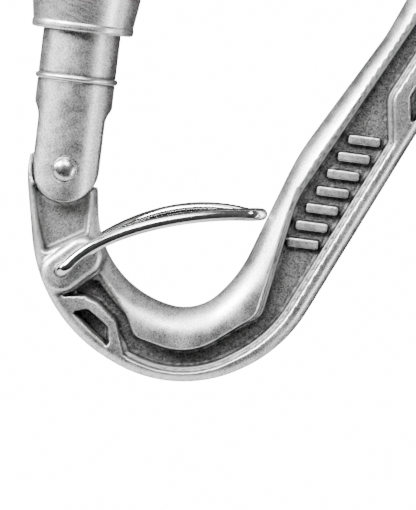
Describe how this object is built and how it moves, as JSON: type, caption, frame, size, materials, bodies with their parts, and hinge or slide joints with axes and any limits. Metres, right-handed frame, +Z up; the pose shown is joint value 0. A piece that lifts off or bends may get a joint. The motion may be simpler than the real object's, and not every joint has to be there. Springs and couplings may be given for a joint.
{
  "type": "locking carabiner",
  "caption": "Pear-shaped locking carabiner with a sprung gate, a screw collar and a wire keeper that closes off its narrow end.",
  "frame": {"origin": "highest point of the inside of the wide end, in the carabiner's middle plane, where a rope or sling bears", "axes": "+Z up the carabiner from its narrow end to its wide end, +X from the gate to the spine, +Y through its thickness"},
  "size_m": [0.0722, 0.016, 0.1125],
  "materials": {
    "frame_metal": "tumbled matte, darker in the pockets",
    "gate_metal": "fine-grained matte",
    "collar_metal": "satin",
    "rivet_steel": "polished dome",
    "spring_steel": "drawn wire",
    "wire_steel": "polished",
    "ring_rubber": "matte"
  },
  "bodies": {
    "frame": {"frame": "frame_metal"},
    "gate": {"gate": "gate_metal", "hinge_pin": "rivet_steel", "gate_spring": "spring_steel", "collar_stop_ring": "wire_steel"},
    "plunger": {"spring_plunger": "spring_steel"},
    "collar_carrier": {"collar_friction_ring": "ring_rubber"},
    "collar": {"locking_collar": "collar_metal"},
    "keeper": {"keeper_wire": "wire_steel"}
  },
  "joints": [
    {"name": "gate_pivot", "type": "hinge", "parent": "frame", "child": "gate", "pos_m": [-0.01886, 0, -0.07701], "axis": [0, 1, 0], "range_deg": [0, 24], "stiffness_Nm_per_rad": 0.6, "springref_deg": -28.65},
    {"name": "plunger_slide", "type": "slide", "parent": "gate", "child": "plunger", "axis": [-0.2181, 0, 0.9759], "range_m": [0, 0.001], "deforming": ["gate_spring"]},
    {"name": "collar_travel", "type": "slide", "parent": "gate", "child": "collar_carrier", "axis": [-0.2181, 0, 0.9759], "range_m": [-0.0061, 0.0068]},
    {"name": "collar_spin", "type": "hinge", "parent": "collar_carrier", "child": "collar", "pos_m": [-0.01886, 0, -0.07701], "axis": [-0.2181, 0, 0.9759], "range_deg": [-1140, 1230]},
    {"name": "keeper_pivot", "type": "hinge", "parent": "frame", "child": "keeper", "pos_m": [-0.01456, 0, -0.09081], "axis": [0, -1, 0], "range_deg": [0, 28], "stiffness_Nm_per_rad": 0.02, "springref_deg": -34.38}
  ],
  "couplings": [
    {"joint": "plunger_slide", "follows": "gate_pivot", "m_per_rad": 0.002292},
    {"joint": "collar_spin", "follows": "collar_travel", "rad_per_m": 3141.6}
  ]
}
